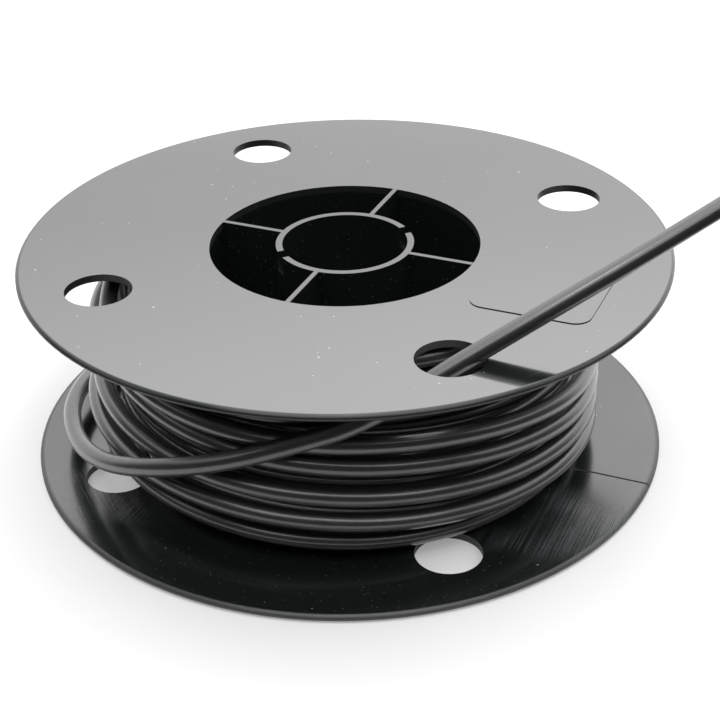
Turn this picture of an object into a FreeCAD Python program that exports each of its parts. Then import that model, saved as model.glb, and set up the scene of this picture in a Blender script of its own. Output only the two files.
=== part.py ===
import FreeCAD, Part
import math
import os

os.makedirs("parts", exist_ok=True)

Vec = FreeCAD.Vector
UP = Vec(0, 0, 1)

# Reel sizes, in millimetres
flange_diameter = 200.0
flange_thickness = 2.3
rim_bevel = 0.8
reel_height = 67.4
barrel_bore_diameter = 83.2
barrel_wall = 2.2
hub_bore_diameter = 38.5
hub_wall = 2.0
web_thickness = 1.5
web_count = 4
web_start_angle = 45.0

# Drive notches in the free end of each hub ring
notch_width = 4.4
notch_depth = 6.3
notch_count = 2

# Round holes in both flanges, the cable leaves through one of them
hole_diameter = 20.0
hole_circle_diameter = 155.0
hole_count = 4

# Bare raised panel on the upper flange
panel_length = 50.0
panel_width = 36.0
panel_corner = 5.0
panel_height = 0.25
panel_centre_radius = 66.0
panel_angle = -45.0

# Snap joint between the two barrel halves
tongue_count = 4
tongue_angle = 22.5
socket_angle = 67.5
tongue_width = 16.0
tongue_length = 6.0
tongue_thickness = 1.0
snap_bead_height = 0.35
snap_bead_length = 1.6
snap_clearance = 0.1

# Cable and the space that its winding fills
cable_diameter = 5.6
jacket_wall = 0.8
spiral_wall = 0.6
liner_wall = 0.4
spiral_seat_depth = 4.0
spiral_proud = 0.5
liner_proud = 0.3
winding_clearance = 0.15
winding_diameter = 159.0
winding_low_diameter = 135.0
winding_high_diameter = 148.0
winding_low_taper = 8.0
winding_high_taper = 12.0

# Worked out from the sizes above
half_height = reel_height / 2
flange_radius = flange_diameter / 2
barrel_bore = barrel_bore_diameter / 2
barrel_radius = barrel_bore + barrel_wall
hub_bore = hub_bore_diameter / 2
hub_radius = hub_bore + hub_wall
hole_radius = hole_diameter / 2
hole_circle = hole_circle_diameter / 2
cable_radius = cable_diameter / 2

# Route of the loose end, from the foot of the winding at the back round the left side,
# up through the front hole of the upper flange and away to the right
tail_points = [
    Vec(34.2, 68.9, 5.5),
    Vec(13.0, 77.8, 6.1),
    Vec(-10.9, 80.3, 6.9),
    Vec(-37.8, 76.6, 7.6),
    Vec(-64.4, 61.5, 9.0),
    Vec(-83.2, 36.9, 11.2),
    Vec(-88.8, 6.8, 14.0),
    Vec(-85.5, -20.8, 20.9),
    Vec(-74.2, -44.0, 30.9),
    Vec(-59.3, -60.6, 39.4),
    Vec(-42.7, -71.5, 47.5),
    Vec(-26.5, -77.7, 53.1),
    Vec(-3.8, -80.1, 64.8),
    Vec(26.3, -82.8, 78.7),
    Vec(56.5, -83.7, 91.1),
    Vec(87.1, -82.2, 102.5),
]


def ring(inner, outer, bottom, top):
    """Plain tube section standing on the Z axis."""
    height = top - bottom
    body = Part.makeCylinder(outer, height, Vec(0, 0, bottom))
    return body.cut(Part.makeCylinder(inner, height, Vec(0, 0, bottom)))


def around(shape, count, start):
    """Copies of a shape spread evenly round the Z axis."""
    copies = []
    for index in range(count):
        copy = shape.copy()
        copy.rotate(Vec(0, 0, 0), UP, start + index * 360.0 / count)
        copies.append(copy)
    return copies


def spoke(inner, outer, width, bottom, top):
    """Block along +X that ends on the cylinders of two radii."""
    block = Part.makeBox(outer, width, top - bottom, Vec(0, -width / 2, bottom))
    return block.common(ring(inner, outer, bottom, top))


def flip(shape):
    """Turn a lower piece over about the X axis into its place in the upper half."""
    turned = shape.copy()
    turned.rotate(Vec(0, 0, half_height), Vec(1, 0, 0), 180)
    return turned


def revolved(corners):
    """Solid of revolution of a closed outline in the XZ plane."""
    outline = Part.makePolygon(corners + corners[:1])
    return Part.Face(outline).revolve(Vec(0, 0, 0), UP, 360)


def flange():
    """Disc with a bevelled rim and the ring of round holes."""
    bevel = min(rim_bevel, 0.45 * flange_thickness)
    top = flange_thickness
    corners = [
        Vec(barrel_bore, 0, 0),
        Vec(flange_radius - bevel, 0, 0),
        Vec(flange_radius, 0, bevel),
        Vec(flange_radius, 0, top - bevel),
        Vec(flange_radius - bevel, 0, top),
        Vec(barrel_bore, 0, top),
    ]
    disc = revolved(corners)
    drill = Part.makeCylinder(hole_radius, flange_thickness, Vec(hole_circle, 0, 0))
    return disc.cut(around(drill, hole_count, 0))


def raised_panel():
    """Bare rounded panel on the outer face of the upper flange."""
    blank = Part.makeBox(panel_width, panel_length, panel_height,
                         Vec(panel_centre_radius - panel_width / 2, -panel_length / 2, reel_height))
    upright = [edge for edge in blank.Edges if abs(edge.tangentAt(0).z) > 0.9]
    panel = blank.makeFillet(panel_corner, upright)
    panel.rotate(Vec(0, 0, 0), UP, panel_angle)
    return panel


def tongue(extra):
    """Snap tongue on the inner side of the barrel wall, along +X, larger by a gap for its socket."""
    inner = barrel_bore
    outer = barrel_bore + tongue_thickness + extra
    width = tongue_width + 2 * extra
    top = half_height + tongue_length + extra
    blade = spoke(inner, outer, width, half_height, top)
    bead_top = top - snap_bead_length / 2 - extra
    bead_bottom = bead_top - snap_bead_length - 2 * extra
    bead = spoke(outer, outer + snap_bead_height, width, bead_bottom, bead_top)
    return blade.fuse(bead)


def barrel_half():
    """Lower half of the winding barrel, with tongues and sockets that mate with its twin."""
    wall = ring(barrel_bore, barrel_radius, flange_thickness, half_height)
    tongues = around(tongue(0.0), tongue_count, tongue_angle)
    sockets = [flip(shape) for shape in around(tongue(snap_clearance), tongue_count, -socket_angle)]
    return wall.cut(sockets).multiFuse(tongues).removeSplitter()


def hub_spider():
    """Hub ring with its drive notches and the webs that carry it in the barrel."""
    tube = ring(hub_bore, hub_radius, 0, half_height)
    web = spoke(hub_radius, barrel_bore, web_thickness, 0, half_height)
    notch = Part.makeBox(2 * hub_radius, notch_width, notch_depth, Vec(0, -notch_width / 2, 0))
    body = tube.multiFuse(around(web, web_count, web_start_angle))
    return body.cut(around(notch, notch_count, 0)).removeSplitter()


def cable_winding():
    """Closed outer shape of all the turns, fullest at mid-height and slimmer by the flanges."""
    bottom = flange_thickness + winding_clearance
    top = reel_height - flange_thickness - winding_clearance
    inner = barrel_radius + winding_clearance
    corners = [
        Vec(inner, 0, bottom),
        Vec(winding_low_diameter / 2, 0, bottom),
        Vec(winding_diameter / 2, 0, bottom + winding_low_taper),
        Vec(winding_diameter / 2, 0, top - winding_high_taper),
        Vec(winding_high_diameter / 2, 0, top),
        Vec(inner, 0, top),
    ]
    return revolved(corners)


def tail_path():
    """Straight runs joined by the largest tangent arcs, with the radii printed."""
    edges = []
    start = tail_points[0]
    for before, point, after in zip(tail_points, tail_points[1:], tail_points[2:]):
        back = before - point
        ahead = after - point
        reach = 0.45 * min(back.Length, ahead.Length)
        turn = math.pi - back.getAngle(ahead)
        radius = reach / math.tan(turn / 2)
        back.normalize()
        ahead.normalize()
        enter = point + back * reach
        leave = point + ahead * reach
        inward = back + ahead
        inward.normalize()
        middle = point + inward * (radius / math.cos(turn / 2) - radius)
        edges.append(Part.LineSegment(start, enter).toShape())
        edges.append(Part.Arc(enter, middle, leave).toShape())
        start = leave
        print("tail arc radius %.1f turn %.1f" % (radius, math.degrees(turn)))
    edges.append(Part.LineSegment(start, tail_points[-1]).toShape())
    return Part.Wire(edges)


def cable_tail():
    """Loose end of the cable, bored at its cut end for the spiral and the liner."""
    path = tail_path()
    heading = tail_points[1] - tail_points[0]
    circle = Part.Circle(tail_points[0], heading, cable_radius).toShape()
    tube = path.makePipeShell([Part.Wire(circle)], True, False)
    section = math.pi * cable_radius ** 2
    print("tail length %.1f volume %.1f section x length %.1f"
          % (path.Length, tube.Volume, section * path.Length))
    return tube.cut(end_cylinder(cable_radius - jacket_wall, spiral_seat_depth, 0.0))


def end_cylinder(radius, depth, proud):
    """Cylinder on the cable's axis at its cut end, from a depth inside to a height outside."""
    axis = tail_points[-1] - tail_points[-2]
    axis.normalize()
    return Part.makeCylinder(radius, depth + proud, tail_points[-1] - axis * depth, axis)


def end_tube(outer, wall, proud):
    """One inner layer of the cable where it shows at the cut end."""
    body = end_cylinder(outer, spiral_seat_depth, proud)
    return body.cut(end_cylinder(outer - wall, spiral_seat_depth, proud))


def export(shape, name):
    """Write one node."""
    shape.exportStep("parts/%s.step" % name)
    print("%-20s solids %d valid %s volume %.1f"
          % (name, len(shape.Solids), shape.isValid(), shape.Volume))


lower_flange = flange()
upper_flange = flip(lower_flange).fuse(raised_panel()).removeSplitter()
lower_barrel = barrel_half()
lower_spider = hub_spider()
spiral_radius = cable_radius - jacket_wall

export(lower_flange, "lower_flange")
export(lower_barrel, "lower_barrel_half")
export(lower_spider, "lower_hub_spider")
export(upper_flange, "upper_flange")
export(flip(lower_barrel), "upper_barrel_half")
export(flip(lower_spider), "upper_hub_spider")
export(cable_winding(), "cable_winding")
export(cable_tail(), "cable_tail")
export(end_tube(spiral_radius, spiral_wall, spiral_proud), "cable_spiral_end")
export(end_tube(spiral_radius - spiral_wall, liner_wall, liner_proud), "cable_liner_end")
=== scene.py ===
import math

import bpy
from mathutils import Matrix, Vector


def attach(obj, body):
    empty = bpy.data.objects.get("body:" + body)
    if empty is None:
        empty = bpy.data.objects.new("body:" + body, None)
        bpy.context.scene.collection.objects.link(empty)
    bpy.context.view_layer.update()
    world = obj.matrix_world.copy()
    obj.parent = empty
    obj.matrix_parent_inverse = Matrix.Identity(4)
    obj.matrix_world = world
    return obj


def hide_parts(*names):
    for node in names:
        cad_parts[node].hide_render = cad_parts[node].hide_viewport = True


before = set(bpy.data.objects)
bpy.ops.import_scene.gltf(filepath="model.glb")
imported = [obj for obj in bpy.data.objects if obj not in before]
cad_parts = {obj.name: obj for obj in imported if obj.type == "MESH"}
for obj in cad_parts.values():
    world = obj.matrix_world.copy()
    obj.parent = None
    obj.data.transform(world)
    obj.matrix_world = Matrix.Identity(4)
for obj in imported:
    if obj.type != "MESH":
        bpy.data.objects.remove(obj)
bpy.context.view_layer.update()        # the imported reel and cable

scene = bpy.context.scene


# camera at the photograph's place
photoView = {
    "lens": 81.6,
    "sensor": 36.0,
    "place": (-0.1606, -0.4214, 0.2893),
    "azimuth": -21.35,
    "elevation": 30.354,
    "roll": -1.293,
    "nearest": 0.01,
}


def addCamera(view):
    lensData = bpy.data.cameras.new("photoCamera")
    lensData.lens = view["lens"]
    lensData.sensor_width = view["sensor"]
    lensData.clip_start = view["nearest"]
    camera = bpy.data.objects.new("photoCamera", lensData)
    scene.collection.objects.link(camera)
    turn = Matrix.Rotation(math.radians(view["azimuth"]), 4, "Z")
    tip = Matrix.Rotation(math.radians(90 - view["elevation"]), 4, "X")
    roll = Matrix.Rotation(math.radians(view["roll"]), 4, "Z")
    camera.matrix_world = Matrix.Translation(view["place"]) @ turn @ tip @ roll
    scene.camera = camera


addCamera(photoView)
print("camera placed")


# node helpers

def addNode(tree, kind, inputs=None, **settings):
    node = tree.nodes.new(kind)
    for name, value in settings.items():
        setattr(node, name, value)
    for name, value in (inputs or {}).items():
        node.inputs[name].default_value = value
    return node


def join(tree, source, target):
    tree.links.new(source, target)


def mathNode(tree, operation, first, second=None, clamp=False):
    node = addNode(tree, "ShaderNodeMath", operation=operation, use_clamp=clamp)
    for slot, value in enumerate((first, second)):
        if value is None:
            continue
        if isinstance(value, (int, float)):
            node.inputs[slot].default_value = value
        else:
            join(tree, value, node.inputs[slot])
    return node.outputs[0]


def mapRange(tree, value, fromLow, fromHigh, toLow=0.0, toHigh=1.0, smooth=False):
    node = addNode(tree, "ShaderNodeMapRange", {"From Min": fromLow, "From Max": fromHigh,
                                                "To Min": toLow, "To Max": toHigh})
    node.interpolation_type = "SMOOTHSTEP" if smooth else "LINEAR"
    join(tree, value, node.inputs["Value"])
    return node.outputs["Result"]


def mixColour(tree, factor, first, second):
    node = addNode(tree, "ShaderNodeMix", data_type="RGBA")
    join(tree, factor, node.inputs[0])
    for slot, value in ((6, first), (7, second)):        # a Mix node's two colours
        if isinstance(value, tuple):
            node.inputs[slot].default_value = (*value, 1.0)
        else:
            join(tree, value, node.inputs[slot])
    return node.outputs[2]


def newGroup(name, inputs, outputs):
    group = bpy.data.node_groups.new(name, "ShaderNodeTree")
    for socketName, kind, value in inputs:
        socket = group.interface.new_socket(socketName, in_out="INPUT", socket_type=kind)
        if value is not None:
            socket.default_value = value
    for socketName, kind in outputs:
        group.interface.new_socket(socketName, in_out="OUTPUT", socket_type=kind)
    entry = group.nodes.new("NodeGroupInput")
    result = group.nodes.new("NodeGroupOutput")
    return group, entry.outputs, result.inputs


def useGroup(tree, group, vector, **values):
    node = addNode(tree, "ShaderNodeGroup", node_tree=group)
    join(tree, vector, node.inputs["Vector"])
    for name, value in values.items():
        node.inputs[name].default_value = value
    return node.outputs


def newMaterial(name):
    material = bpy.data.materials.new(name)
    material.use_nodes = True
    tree = material.node_tree
    shader = tree.nodes["Principled BSDF"]
    place = addNode(tree, "ShaderNodeTexCoord").outputs["Object"]
    return material, tree, shader, place


def addBump(tree, shader, height, distance, strength):
    bump = addNode(tree, "ShaderNodeBump", {"Distance": distance, "Strength": strength})
    join(tree, height, bump.inputs["Height"])
    join(tree, bump.outputs["Normal"], shader.inputs["Normal"])
    return bump


# effects that several finishes share

# thin marks that run round the hub, in patches
arcMarks = {"aroundScale": 2.0, "detail": 3.0, "roughness": 0.7, "lineRange": (0.62, 0.74),
            "patchScale": 22.0, "patchRange": (0.42, 0.66)}


def buildArcScratches(marks):
    group, entry, result = newGroup(
        "arcScratches",
        [("Vector", "NodeSocketVector", None), ("Density", "NodeSocketFloat", 900.0),
         ("Cover", "NodeSocketFloat", 0.5)],
        [("Mask", "NodeSocketFloat")])
    split = addNode(group, "ShaderNodeSeparateXYZ")
    join(group, entry["Vector"], split.inputs[0])
    x, y = split.outputs[0], split.outputs[1]
    squared = mathNode(group, "ADD", mathNode(group, "MULTIPLY", x, x), mathNode(group, "MULTIPLY", y, y))
    radius = mathNode(group, "SQRT", squared)
    angle = mathNode(group, "ARCTAN2", y, x)
    polar = addNode(group, "ShaderNodeCombineXYZ")
    join(group, mathNode(group, "MULTIPLY", radius, entry["Density"]), polar.inputs[0])
    join(group, mathNode(group, "MULTIPLY", angle, marks["aroundScale"]), polar.inputs[1])
    lines = addNode(group, "ShaderNodeTexNoise",
                    {"Scale": 1.0, "Detail": marks["detail"], "Roughness": marks["roughness"]})
    join(group, polar.outputs[0], lines.inputs["Vector"])
    patches = addNode(group, "ShaderNodeTexNoise", {"Scale": marks["patchScale"], "Detail": 2.0})
    join(group, entry["Vector"], patches.inputs["Vector"])
    thin = mapRange(group, lines.outputs[0], *marks["lineRange"])
    spots = mapRange(group, patches.outputs[0], *marks["patchRange"])
    both = mathNode(group, "MULTIPLY", thin, spots)
    join(group, mathNode(group, "MULTIPLY", both, entry["Cover"]), result["Mask"])
    return group


# fine straight marks in one direction, in patches
straightMarks = {"detail": 3.0, "roughness": 0.65, "lineSpan": 0.12,
                 "patchScale": 30.0, "patchRange": (0.45, 0.65)}


def buildStraightScratches(marks):
    group, entry, result = newGroup(
        "straightScratches",
        [("Vector", "NodeSocketVector", None), ("Turn", "NodeSocketFloat", 0.6),
         ("Density", "NodeSocketFloat", 700.0), ("Along", "NodeSocketFloat", 22.0),
         ("Low", "NodeSocketFloat", 0.64), ("Cover", "NodeSocketFloat", 0.5)],
        [("Mask", "NodeSocketFloat")])
    turned = addNode(group, "ShaderNodeVectorRotate", rotation_type="Z_AXIS")
    join(group, entry["Vector"], turned.inputs["Vector"])
    join(group, entry["Turn"], turned.inputs["Angle"])
    split = addNode(group, "ShaderNodeSeparateXYZ")
    join(group, turned.outputs[0], split.inputs[0])
    stretched = addNode(group, "ShaderNodeCombineXYZ")
    join(group, mathNode(group, "MULTIPLY", split.outputs[0], entry["Density"]), stretched.inputs[0])
    join(group, mathNode(group, "MULTIPLY", split.outputs[1], entry["Along"]), stretched.inputs[1])
    lines = addNode(group, "ShaderNodeTexNoise",
                    {"Scale": 1.0, "Detail": marks["detail"], "Roughness": marks["roughness"]})
    join(group, stretched.outputs[0], lines.inputs["Vector"])
    patches = addNode(group, "ShaderNodeTexNoise", {"Scale": marks["patchScale"], "Detail": 2.0})
    join(group, entry["Vector"], patches.inputs["Vector"])
    over = mathNode(group, "SUBTRACT", lines.outputs[0], entry["Low"])
    thin = mathNode(group, "DIVIDE", over, marks["lineSpan"], True)
    spots = mapRange(group, patches.outputs[0], *marks["patchRange"])
    both = mathNode(group, "MULTIPLY", thin, spots)
    join(group, mathNode(group, "MULTIPLY", both, entry["Cover"]), result["Mask"])
    return group


# scattered pale specks
def buildDust():
    group, entry, result = newGroup(
        "dustSpecks",
        [("Vector", "NodeSocketVector", None), ("Scale", "NodeSocketFloat", 260.0),
         ("Size", "NodeSocketFloat", 0.10), ("Cover", "NodeSocketFloat", 0.4)],
        [("Mask", "NodeSocketFloat")])
    cells = addNode(group, "ShaderNodeTexVoronoi", feature="F1")
    join(group, entry["Vector"], cells.inputs["Vector"])
    join(group, entry["Scale"], cells.inputs["Scale"])
    split = addNode(group, "ShaderNodeSeparateColor")
    join(group, cells.outputs["Color"], split.inputs[0])
    chosen = mathNode(group, "LESS_THAN", split.outputs[0], entry["Cover"])
    inside = mathNode(group, "LESS_THAN", cells.outputs["Distance"],
                      mathNode(group, "MULTIPLY", entry["Size"], split.outputs[1]))
    join(group, mathNode(group, "MULTIPLY", chosen, inside), result["Mask"])
    return group


arcScratches = buildArcScratches(arcMarks)
straightScratches = buildStraightScratches(straightMarks)
dustSpecks = buildDust()


# the cable: one length, wound in level layers, then the loose outer turns, then the free end

cable = {
    "diameter": 0.0056,
    "length": 25.0,
    "firstRadius": 0.0466,
    "layerStep": 0.00485,
    "layerTurns": (10, 10, 10, 10, 10, 9),
    "lowest": 0.0053,
    "highest": 0.0621,
    "innerPoints": 12,
    "outerPoints": 24,
    "lastLayerLean": 0.0045,     # the last layer's turns stand askew by this
    "lastLayerSink": 0.0012,
    "climbPoints": 5,            # points in which a layer gets up onto the one below
    "leanPoints": 12,
    "roundSteps": 6,
    "bendSteps": 8,
}

# each loose outer turn, top one first: its height and radius at five places from its left to its right
outerTurns = (
    {"height": (0.0560, 0.0510, 0.0510, 0.0450, 0.0400), "radius": (0.0765, 0.0760, 0.0738, 0.0735, 0.0735)},
    {"height": (0.0500, 0.0463, 0.0430, 0.0348, 0.0310), "radius": (0.0770, 0.0798, 0.0784, 0.0769, 0.0763)},
    {"height": (0.0470, 0.0401, 0.0351, 0.0271, 0.0235), "radius": (0.0763, 0.0794, 0.0784, 0.0769, 0.0763)},
    {"height": (0.0310, 0.0293, 0.0253, 0.0199, 0.0172), "radius": (0.0775, 0.0797, 0.0784, 0.0769, 0.0763)},
    {"height": (0.0228, 0.0210, 0.0169, 0.0127, 0.0109), "radius": (0.0799, 0.0802, 0.0784, 0.0769, 0.0763)},
    {"height": (0.0138, 0.0106, 0.0079, 0.0078, 0.0078), "radius": (0.0770, 0.0755, 0.0735, 0.0720, 0.0710)},
)

# the last turn runs down to the lower flange at the back
leavingPoints = (
    (0.0628, 0.0355, 0.0066),
    (0.0530, 0.0530, 0.0060),
)

# the free end: round the left side, up through the front hole and away
tailPoints = (
    (0.0342, 0.0689, 0.0055),
    (0.0130, 0.0778, 0.0061),
    (-0.0109, 0.0803, 0.0069),
    (-0.0378, 0.0766, 0.0076),
    (-0.0644, 0.0615, 0.0090),
    (-0.0832, 0.0369, 0.0112),
    (-0.0888, 0.0068, 0.0140),
    (-0.0855, -0.0208, 0.0209),
    (-0.0742, -0.0440, 0.0309),
    (-0.0593, -0.0606, 0.0394),
    (-0.0427, -0.0715, 0.0475),
    (-0.0265, -0.0777, 0.0531),
    (-0.0038, -0.0801, 0.0648),
    (0.0263, -0.0828, 0.0787),
    (0.0565, -0.0837, 0.0911),
    (0.0871, -0.0822, 0.1025),
)


def onCircle(angle, radius, height, step):
    # a spline of order 3 cuts inside its points, so they stand out by this
    swell = 1 / (0.75 + 0.25 * math.cos(step))
    return (radius * swell * math.cos(angle), radius * swell * math.sin(angle), height)


def ease(share):
    return share * share * (3 - 2 * share)


def innerPoints():
    points = []
    count = cable["innerPoints"]
    step = math.tau / count
    for layer, turns in enumerate(cable["layerTurns"]):
        last = layer == len(cable["layerTurns"]) - 1
        lean = cable["lastLayerLean"] if last else 0.0
        radius = cable["firstRadius"] + layer * cable["layerStep"]
        radius -= cable["lastLayerSink"] if last else 0.0
        low = cable["lowest"] + lean
        high = cable["highest"] - lean
        for index in range(turns * count):
            share = index / (turns * count)
            angle = math.pi + index * step
            rising = layer % 2 == 1
            height = low + (high - low) * (share if rising else 1 - share)
            climb = min(1.0, index / cable["climbPoints"]) if layer else 1.0
            height -= lean * ease(min(1.0, index / cable["leanPoints"])) * math.cos(angle)
            points.append(onCircle(angle, radius - (1 - climb) * cable["layerStep"], height, step))
    return points


# in front a turn follows its five values smoothly, at the back it goes on to the next turn's first one
def alongTurn(turn, following, name, angle):
    values = turn[name]
    if angle > 0:
        return values[-1] + (following[name][0] - values[-1]) * (1 - math.cos(angle)) / 2
    place = (1 + angle / math.pi) * (len(values) - 1)
    index = min(int(place), len(values) - 2)
    share = place - index
    before, first = values[max(index - 1, 0)], values[index]
    second, after = values[index + 1], values[min(index + 2, len(values) - 1)]
    bend = 2 * before - 5 * first + 4 * second - after
    twist = 3 * (first - second) + after - before
    return first + share * (second - before + share * (bend + share * twist)) / 2


def outerPoints():
    points = []
    count = cable["outerPoints"]
    step = math.tau / count
    for number, turn in enumerate(outerTurns):
        final = number == len(outerTurns) - 1
        following = turn if final else outerTurns[number + 1]
        for index in range(count // 2 + 1 if final else count):
            angle = -math.pi + index * step
            radius = alongTurn(turn, following, "radius", angle)
            points.append(onCircle(angle, radius, alongTurn(turn, following, "height", angle), step))
    return points


def addCable():
    points = innerPoints() + outerPoints() + list(leavingPoints) + list(tailPoints)
    curve = bpy.data.curves.new("cable", "CURVE")
    curve.dimensions = "3D"
    curve.bevel_depth = 1.0        # times each point's own radius
    curve.bevel_resolution = cable["roundSteps"]
    curve.use_fill_caps = True
    curve.resolution_u = cable["bendSteps"]
    spline = curve.splines.new("NURBS")
    spline.points.add(len(points) - 1)
    for knot, point in zip(spline.points, points):
        knot.co = (*point, 1.0)
        knot.radius = cable["diameter"] / 2
    spline.resolution_u = cable["bendSteps"]
    spline.order_u = 3
    spline.use_endpoint_u = True
    piece = bpy.data.objects.new("cable", curve)
    scene.collection.objects.link(piece)
    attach(piece, "root")
    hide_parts("cable_winding", "cable_tail")
    return piece


cablePiece = addCable()
print("cable wound")


# finishes

jacketLook = {"colour": (0.013, 0.0135, 0.0145), "ior": 1.6, "roughness": 0.40,
              "polish": 1.0, "polishIor": 1.52, "polishRoughness": 0.17,
              "dust": {"Scale": 900.0, "Size": 0.12, "Cover": 0.12},
              "dustColour": (0.13, 0.13, 0.125), "streakScale": 900.0, "streakRange": (0.3, 0.7),
              "streakWear": 0.05, "streakDepth": 0.00002, "streakStrength": 0.4}


def setPolish(shader, look):
    shader.inputs["IOR"].default_value = look["ior"]
    if "polish" in look:
        shader.inputs["Coat Weight"].default_value = look["polish"]
        shader.inputs["Coat IOR"].default_value = look["polishIor"]
        shader.inputs["Coat Roughness"].default_value = look["polishRoughness"]


def jacketFinish(look):
    material, tree, shader, place = newMaterial("cableJacket")
    setPolish(shader, look)
    specks = useGroup(tree, dustSpecks, place, **look["dust"])
    join(tree, mixColour(tree, specks["Mask"], look["colour"], look["dustColour"]),
         shader.inputs["Base Color"])
    streaks = addNode(tree, "ShaderNodeTexNoise", {"Scale": look["streakScale"], "Detail": 2.0})
    join(tree, place, streaks.inputs["Vector"])
    low = look["roughness"] - look["streakWear"]
    high = look["roughness"] + look["streakWear"]
    join(tree, mapRange(tree, streaks.outputs[0], *look["streakRange"], low, high),
         shader.inputs["Roughness"])
    addBump(tree, shader, streaks.outputs[0], look["streakDepth"], look["streakStrength"])
    return material


# what all the reel's mouldings share
reelPlastic = {"colour": (0.0085, 0.0103, 0.0099), "scratched": (0.11, 0.115, 0.125),
               "dustColour": (0.08, 0.082, 0.077), "lintColour": (0.26, 0.26, 0.25),
               "arcs": {"Density": 1500.0}, "firsts": {"Turn": 0.80, "Density": 1700.0},
               "seconds": {"Turn": 0.71, "Density": 1300.0, "Along": 12.0}, "secondsShare": 0.6,
               "dust": {"Scale": 900.0, "Size": 0.20}, "lint": {"Scale": 240.0, "Size": 0.10},
               "mottleScale": 35.0, "mottleRange": (0.3, 0.7), "smoother": 0.03, "rougher": 0.04,
               "markWear": 0.25, "markSink": -0.5, "markDepth": 0.00005, "markStrength": 0.6,
               "rimBlend": 0.0006, "rimSamples": 6, "wallTilt": 0.3}

# what each moulding has of its own
upperLook = {"ior": 1.6, "roughness": 0.11, "polish": 1.0, "polishIor": 1.68, "polishRoughness": 0.06,
             "arcs": 0.50, "straights": 0.40, "dust": 0.03, "lint": 0.50, "holeWear": 0.40,
             "edge": 0.0012, "rimStart": 0.0987, "rimWear": 0.08}
hubLook = {"ior": 1.6, "roughness": 0.14, "polish": 0.8, "polishIor": 1.6, "polishRoughness": 0.06,
           "arcs": 0.1, "straights": 0.1, "dust": 0.40, "lint": 0.0}
lowerLook = {"ior": 1.74, "roughness": 0.16,
             "arcs": 0.45, "straights": 0.45, "dust": 0.45, "lint": 0.15, "holeWear": 0.40,
             "edge": 0.0010, "rimStart": 0.0984, "rimWear": 0.22}
knitLook = {"angle": -45.0, "width": 0.00036, "colour": (0.001, 0.001, 0.001),
            "roughness": 1.0, "depth": 4.0}

scuffLines = {"Along": 7.0, "Low": 0.46}
scuffCore = 0.4        # share of the reach that is scuffed in full

# places where the lower flange is scuffed: centre, reach, then the marks' direction, fineness and cover
scuffs = (
    {"place": (0.036, -0.084, 0.002), "reach": 0.042, "turn": 0.785, "density": 4300.0, "cover": 0.55},
    {"place": (0.062, -0.070, 0.002), "reach": 0.034, "turn": 0.785, "density": 4300.0, "cover": 0.35},
    {"place": (-0.090, -0.010, 0.002), "reach": 0.024, "turn": -0.05, "density": 2500.0, "cover": 0.60},
    {"place": (-0.080, -0.028, 0.002), "reach": 0.018, "turn": 0.80, "density": 2500.0, "cover": 0.45},
)


def scuffMarks(tree, place, marks):
    for scuff in scuffs:
        away = addNode(tree, "ShaderNodeVectorMath", operation="DISTANCE")
        away.inputs[1].default_value = scuff["place"]
        join(tree, place, away.inputs[0])
        near = mapRange(tree, away.outputs["Value"], scuff["reach"] * scuffCore, scuff["reach"],
                        toLow=1.0, toHigh=0.0, smooth=True)
        lines = useGroup(tree, straightScratches, place, Turn=scuff["turn"], Density=scuff["density"],
                         Cover=scuff["cover"], **scuffLines)
        marks = mathNode(tree, "ADD", marks, mathNode(tree, "MULTIPLY", near, lines["Mask"]), True)
    return marks


# a straight line left where the flow of plastic met itself
def knitLine(tree, place, look):
    split = addNode(tree, "ShaderNodeSeparateXYZ")
    join(tree, place, split.inputs[0])
    turn = math.radians(look["angle"])
    across = mathNode(tree, "ADD", mathNode(tree, "MULTIPLY", split.outputs[0], -math.sin(turn)),
                      mathNode(tree, "MULTIPLY", split.outputs[1], math.cos(turn)))
    along = mathNode(tree, "ADD", mathNode(tree, "MULTIPLY", split.outputs[0], math.cos(turn)),
                     mathNode(tree, "MULTIPLY", split.outputs[1], math.sin(turn)))
    narrow = mathNode(tree, "LESS_THAN", mathNode(tree, "ABSOLUTE", across), look["width"])
    return mathNode(tree, "MULTIPLY", narrow, mathNode(tree, "GREATER_THAN", along, 0.0))


# a flange's outer edge looks rounded, its joint to the barrel stays as it is
def softRim(tree, place, plastic, look):
    flat = addNode(tree, "ShaderNodeVectorMath", operation="MULTIPLY")
    flat.inputs[1].default_value = (1, 1, 0)
    join(tree, place, flat.inputs[0])
    radius = addNode(tree, "ShaderNodeVectorMath", operation="LENGTH")
    join(tree, flat.outputs[0], radius.inputs[0])
    start = look["rimStart"]
    atRim = mapRange(tree, radius.outputs["Value"], start, start + plastic["rimBlend"])
    softEdge = addNode(tree, "ShaderNodeBevel", {"Radius": look["edge"]}, samples=plastic["rimSamples"])
    blend = addNode(tree, "ShaderNodeMix", data_type="VECTOR")        # its vectors are 4 and 5
    join(tree, atRim, blend.inputs[0])
    join(tree, addNode(tree, "ShaderNodeNewGeometry").outputs["Normal"], blend.inputs[4])
    join(tree, softEdge.outputs[0], blend.inputs[5])
    return atRim, blend.outputs[1]


# the upright walls of holes and bore, as moulded, without polish
def holeWall(tree, atRim, tilt):
    split = addNode(tree, "ShaderNodeSeparateXYZ")
    join(tree, addNode(tree, "ShaderNodeNewGeometry").outputs["Normal"], split.inputs[0])
    upright = mathNode(tree, "LESS_THAN", mathNode(tree, "ABSOLUTE", split.outputs[2]), tilt)
    return mathNode(tree, "MULTIPLY", upright, mathNode(tree, "SUBTRACT", 1.0, atRim))


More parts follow.
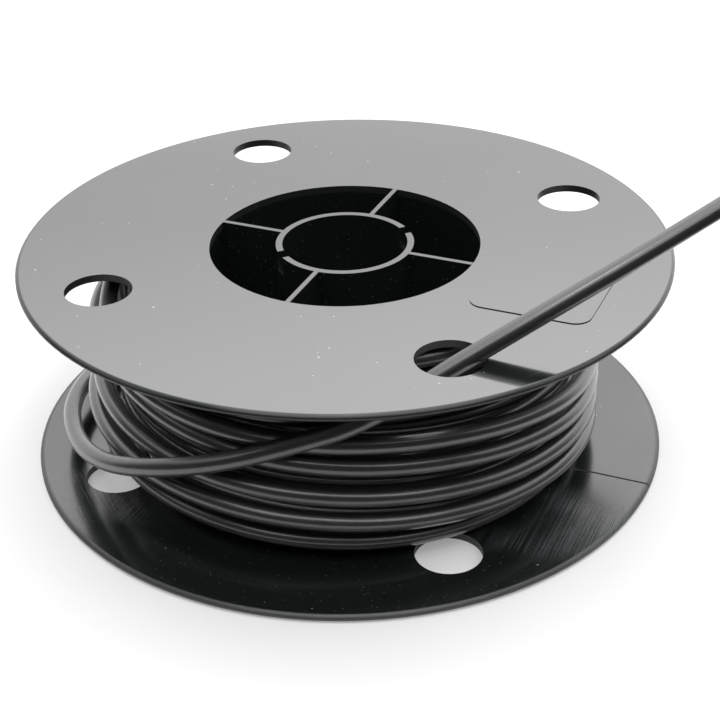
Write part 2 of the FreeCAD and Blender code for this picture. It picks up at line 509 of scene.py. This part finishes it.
def reelFinish(name, plastic, look, knit=None):
    material, tree, shader, place = newMaterial(name)
    setPolish(shader, look)
    arcs = useGroup(tree, arcScratches, place, Cover=look["arcs"], **plastic["arcs"])
    firsts = useGroup(tree, straightScratches, place, Cover=look["straights"], **plastic["firsts"])
    seconds = useGroup(tree, straightScratches, place,
                       Cover=look["straights"] * plastic["secondsShare"], **plastic["seconds"])
    specks = useGroup(tree, dustSpecks, place, Cover=look["dust"], **plastic["dust"])
    lint = useGroup(tree, dustSpecks, place, Cover=look["lint"], **plastic["lint"])
    marks = mathNode(tree, "ADD", firsts["Mask"], seconds["Mask"])
    marks = mathNode(tree, "ADD", arcs["Mask"], marks, True)
    if knit:
        marks = scuffMarks(tree, place, marks)
    colour = mixColour(tree, marks, plastic["colour"], plastic["scratched"])
    colour = mixColour(tree, specks["Mask"], colour, plastic["dustColour"])
    colour = mixColour(tree, lint["Mask"], colour, plastic["lintColour"])
    mottle = addNode(tree, "ShaderNodeTexNoise", {"Scale": plastic["mottleScale"], "Detail": 4.0})
    join(tree, place, mottle.inputs["Vector"])
    low = look["roughness"] - plastic["smoother"]
    high = look["roughness"] + plastic["rougher"]
    rough = mapRange(tree, mottle.outputs[0], *plastic["mottleRange"], low, high)
    rough = mathNode(tree, "ADD", rough, mathNode(tree, "MULTIPLY", marks, plastic["markWear"]), True)
    height = mathNode(tree, "MULTIPLY", marks, plastic["markSink"])
    if knit:
        line = knitLine(tree, place, knit)
        colour = mixColour(tree, line, colour, knit["colour"])
        rough = mathNode(tree, "MAXIMUM", rough, mathNode(tree, "MULTIPLY", line, knit["roughness"]))
        height = mathNode(tree, "SUBTRACT", height, mathNode(tree, "MULTIPLY", line, knit["depth"]))
    bump = addBump(tree, shader, height, plastic["markDepth"], plastic["markStrength"])
    if "edge" in look:
        atRim, normal = softRim(tree, place, plastic, look)
        inHole = holeWall(tree, atRim, plastic["wallTilt"])
        rough = mathNode(tree, "ADD", rough, mathNode(tree, "MULTIPLY", inHole, look["holeWear"]), True)
        rough = mathNode(tree, "ADD", rough, mathNode(tree, "MULTIPLY", atRim, look["rimWear"]), True)
        join(tree, normal, bump.inputs["Normal"])
        if "polish" in look:
            polished = mathNode(tree, "SUBTRACT", 1.0, mathNode(tree, "MAXIMUM", inHole, atRim))
            join(tree, mathNode(tree, "MULTIPLY", polished, look["polish"]), shader.inputs["Coat Weight"])
            join(tree, normal, shader.inputs["Coat Normal"])
    join(tree, colour, shader.inputs["Base Color"])
    join(tree, rough, shader.inputs["Roughness"])
    return material


steelLook = {"grain": 2500.0, "grainRange": (0.3, 0.7), "roughness": (0.25, 0.45),
             "dark": (0.42, 0.42, 0.43), "light": (0.62, 0.62, 0.63)}


def steelFinish(look):
    material, tree, shader, place = newMaterial("cutSteel")
    shader.inputs["Metallic"].default_value = 1.0
    grain = addNode(tree, "ShaderNodeTexNoise", {"Scale": look["grain"], "Detail": 2.0})
    join(tree, place, grain.inputs["Vector"])
    join(tree, mapRange(tree, grain.outputs[0], *look["grainRange"], *look["roughness"]),
         shader.inputs["Roughness"])
    join(tree, mixColour(tree, grain.outputs[0], look["dark"], look["light"]), shader.inputs["Base Color"])
    return material


linerLook = {"cloud": 1500.0, "dark": (0.74, 0.74, 0.70), "light": (0.84, 0.84, 0.80), "roughness": 0.45}


def linerFinish(look):
    material, tree, shader, place = newMaterial("linerPlastic")
    cloud = addNode(tree, "ShaderNodeTexNoise", {"Scale": look["cloud"], "Detail": 1.0})
    join(tree, place, cloud.inputs["Vector"])
    join(tree, mixColour(tree, cloud.outputs[0], look["dark"], look["light"]), shader.inputs["Base Color"])
    shader.inputs["Roughness"].default_value = look["roughness"]
    return material


def dress(names, material):
    for name in names:
        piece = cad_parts[name]
        piece.data.materials.clear()
        piece.data.materials.append(material)


cablePiece.data.materials.append(jacketFinish(jacketLook))
dress(["upper_flange"], reelFinish("upperReel", reelPlastic, upperLook))
dress(["lower_flange"], reelFinish("lowerReel", reelPlastic, lowerLook, knitLook))
dress(["lower_barrel_half", "upper_barrel_half", "lower_hub_spider", "upper_hub_spider"],
      reelFinish("hubReel", reelPlastic, hubLook))
dress(["cable_spiral_end"], steelFinish(steelLook))
dress(["cable_liner_end"], linerFinish(linerLook))
print("finishes made")


# floor, room light and key lamp

# the floor is small, so that the lower flange and the cable mirror only a narrow pale band of it
floorLook = {"radius": 0.19, "corners": 96, "drop": -0.0003, "colour": (0.60, 0.60, 0.60),
             "roughness": 0.9, "shine": 0.1, "glow": 0.28}


def addFloor(look):
    mesh = bpy.data.meshes.new("floor")
    turns = [index * math.tau / look["corners"] for index in range(look["corners"])]
    corners = [(look["radius"] * math.cos(turn), look["radius"] * math.sin(turn), look["drop"])
               for turn in turns]
    mesh.from_pydata(corners, [], [tuple(range(look["corners"]))])
    floor = bpy.data.objects.new("floor", mesh)
    scene.collection.objects.link(floor)
    material, tree, shader, place = newMaterial("paleFloor")
    shader.inputs["Base Color"].default_value = (*look["colour"], 1)
    shader.inputs["Roughness"].default_value = look["roughness"]
    shader.inputs["Specular IOR Level"].default_value = look["shine"]
    shader.inputs["Emission Color"].default_value = (1, 1, 1, 1)
    path = addNode(tree, "ShaderNodeLightPath")
    seen = mathNode(tree, "MAXIMUM", path.outputs["Is Camera Ray"], path.outputs["Is Glossy Ray"])
    seen = mathNode(tree, "MAXIMUM", seen, path.outputs["Is Transmission Ray"])
    join(tree, mathNode(tree, "MULTIPLY", seen, look["glow"]), shader.inputs["Emission Strength"])
    mesh.materials.append(material)


# the room is a pale tent: a bright wall behind, half as bright at the sides, a strip overhead, dim in front
room = {
    "behind": 69.0,
    "plain": 0.08,
    "wallLow": 1.25,
    "wallHigh": 2.7,
    "wallEnds": (1.12, 0.74),    # how bright its right and left ends are
    "wallReach": (-0.5, 0.5),
    "wallRise": (0.38, 0.58),
    "wallTop": (0.66, 0.80),
    "wallSide": (0.25, 0.65),
    "sideLevel": 1.35,
    "sideRise": (0.28, 0.50),
    "sideEnd": (-0.50, -0.20),
    "strip": 2.3,
    "stripMiddle": -0.05,
    "stripHalf": (0.47, 0.66),
    "stripFront": (-0.74, -0.64),
    "stripStart": (0.58, 0.68),
    "leastFlat": 0.001,          # keeps straight up from dividing by nothing
}


def addRoom(look):
    world = bpy.data.worlds.new("room")
    scene.world = world
    world.use_nodes = True
    tree = world.node_tree
    back = tree.nodes["Background"]
    back.inputs["Color"].default_value = (1, 1, 1, 1)
    direction = addNode(tree, "ShaderNodeTexCoord").outputs["Generated"]
    turned = addNode(tree, "ShaderNodeVectorRotate", rotation_type="Z_AXIS")
    turned.inputs["Angle"].default_value = -math.radians(look["behind"])
    join(tree, direction, turned.inputs["Vector"])
    split = addNode(tree, "ShaderNodeSeparateXYZ")
    join(tree, turned.outputs[0], split.inputs[0])
    ahead, aside, up = split.outputs[0], split.outputs[1], split.outputs[2]
    flat = mathNode(tree, "SQRT", mathNode(tree, "SUBTRACT", 1.0, mathNode(tree, "MULTIPLY", up, up)))
    facing = mathNode(tree, "DIVIDE", ahead, mathNode(tree, "MAXIMUM", flat, look["leastFlat"]))
    wall = mapRange(tree, up, *look["wallRise"], look["wallLow"], look["wallHigh"], True)
    wall = mathNode(tree, "MULTIPLY", wall, mapRange(tree, facing, *look["wallSide"], smooth=True))
    sides = mapRange(tree, facing, *look["sideEnd"], 0.0, look["sideLevel"], True)
    sides = mathNode(tree, "MULTIPLY", sides, mapRange(tree, up, *look["sideRise"], smooth=True))
    wall = mathNode(tree, "MAXIMUM", wall, sides)
    wall = mathNode(tree, "MULTIPLY", wall, mapRange(tree, up, *look["wallTop"], 1.0, 0.0, True))
    wall = mathNode(tree, "MULTIPLY", wall, mapRange(tree, aside, *look["wallReach"], *look["wallEnds"]))
    offset = mathNode(tree, "ABSOLUTE", mathNode(tree, "SUBTRACT", aside, look["stripMiddle"]))
    strip = mapRange(tree, offset, *look["stripHalf"], look["strip"], 0.0, True)
    strip = mathNode(tree, "MULTIPLY", strip, mapRange(tree, ahead, *look["stripFront"], smooth=True))
    strip = mathNode(tree, "MULTIPLY", strip, mapRange(tree, up, *look["stripStart"], smooth=True))
    light = mathNode(tree, "ADD", mathNode(tree, "MAXIMUM", wall, strip), look["plain"])
    path = addNode(tree, "ShaderNodeLightPath")
    seen = mathNode(tree, "MAXIMUM", path.outputs["Is Camera Ray"], path.outputs["Is Transmission Ray"])
    join(tree, mathNode(tree, "MAXIMUM", light, seen), back.inputs["Strength"])


keyLamp = {"azimuth": -109.0, "elevation": 69.0, "distance": 1.5, "size": 0.35, "light": 0.06}


def addKeyLamp(look):
    data = bpy.data.lights.new("keyLamp", "AREA")
    data.shape = "DISK"
    data.size = look["size"]
    data.energy = look["light"] * 4 * math.pi * look["distance"] ** 2
    lamp = bpy.data.objects.new("keyLamp", data)
    scene.collection.objects.link(lamp)
    turn, tip = math.radians(look["azimuth"]), math.radians(look["elevation"])
    heading = Vector((math.cos(turn) * math.cos(tip), math.sin(turn) * math.cos(tip), math.sin(tip)))
    lamp.location = heading * look["distance"]
    lamp.rotation_euler = heading.to_track_quat("Z", "Y").to_euler()


addFloor(floorLook)
addRoom(room)
addKeyLamp(keyLamp)
scene.view_settings.view_transform = "Standard"
print("floor and lights set")
